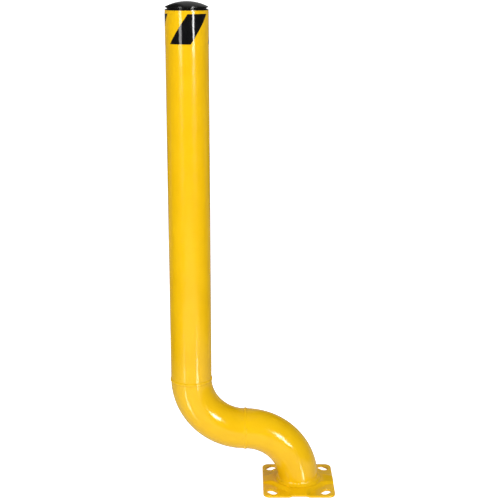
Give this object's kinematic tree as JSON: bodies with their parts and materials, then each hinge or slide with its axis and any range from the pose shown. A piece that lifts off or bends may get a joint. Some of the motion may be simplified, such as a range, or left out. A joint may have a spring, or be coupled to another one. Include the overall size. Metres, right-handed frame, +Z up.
{
  "type": "steel safety bollard",
  "caption": "Offset steel bollard: a round yellow post on a double-elbow S-bend, welded to a square floor plate with anchor slots, with a hazard-striped band and a domed push-in cap.",
  "frame": {"origin": "centre of the floor plate, on the floor, which is also the centre of its four anchor slots", "axes": "+Z up along the post; the post stands off towards -X; -Y is the front, where a viewer sees the plate to the right of the post"},
  "size_m": [0.4652, 0.2032, 1.3582],
  "materials": {
    "powder_coat": "gloss safety-yellow powder coat",
    "tape_yellow": "smooth printed vinyl",
    "tape_black": "smooth printed vinyl",
    "cap_plastic": "moulded black plastic, satin"
  },
  "bodies": {
    "bollard": {"base_plate": "powder_coat", "foot_weld": "powder_coat", "lower_elbow": "powder_coat", "elbow_weld": "powder_coat", "upper_elbow": "powder_coat", "post_weld": "powder_coat", "post_tube": "powder_coat", "hazard_tape": "tape_yellow", "hazard_stripes": "tape_black"},
    "cap": {"dome_cap": "cap_plastic"}
  },
  "joints": [
    {"name": "cap_lift", "type": "slide", "parent": "bollard", "child": "cap", "axis": [0, 0, 1], "range_m": [0, 0.04]}
  ]
}
